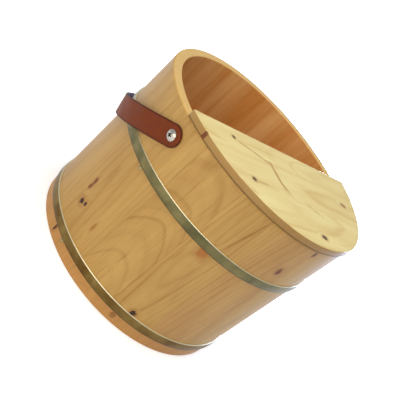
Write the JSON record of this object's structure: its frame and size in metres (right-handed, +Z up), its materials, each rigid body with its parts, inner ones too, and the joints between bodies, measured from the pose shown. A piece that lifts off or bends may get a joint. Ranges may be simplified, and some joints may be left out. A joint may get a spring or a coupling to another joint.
{
  "type": "wooden foot bath",
  "caption": "Round coopered wooden tub with metal hoops, a leather carrying strap and a loose half lid, for soaking the feet.",
  "frame": {"origin": "centre of the foot plane that the staves stand on", "axes": "+Z up along the tub's axis, X through the strap's two screws, the open half of the mouth and the strap towards +Y"},
  "size_m": [0.4118, 0.4111, 0.3172],
  "materials": {
    "wall_pine": "clear satin lacquer over planed pine",
    "floor_pine": "planed pine",
    "lid_pine": "clear satin lacquer over planed pine",
    "batten_pine": "planed pine",
    "hoop_metal": "rolled band, dull grey green",
    "nail_metal": "plain wire nail",
    "screw_steel": "bright plated",
    "strap_leather": "smooth brown harness leather, dark edges"
  },
  "bodies": {
    "root": {"floor_board_1": "floor_pine", "floor_board_2": "floor_pine", "floor_board_3": "floor_pine", "floor_board_4": "floor_pine", "front_lid_batten": "batten_pine", "handle_screws": "screw_steel", "handle_strap": "strap_leather", "hoop_nails": "nail_metal", "lid_board_1": "lid_pine", "lid_board_2": "lid_pine", "lid_board_3": "lid_pine", "lower_hoop": "hoop_metal", "rear_lid_batten": "batten_pine", "stave_01": "wall_pine", "stave_02": "wall_pine", "stave_03": "wall_pine", "stave_04": "wall_pine", "stave_05": "wall_pine", "stave_06": "wall_pine", "stave_07": "wall_pine", "stave_08": "wall_pine", "stave_09": "wall_pine", "stave_10": "wall_pine", "stave_11": "wall_pine", "stave_12": "wall_pine", "stave_13": "wall_pine", "stave_14": "wall_pine", "stave_15": "wall_pine", "stave_16": "wall_pine", "upper_hoop": "hoop_metal"}
  },
  "joints": []
}
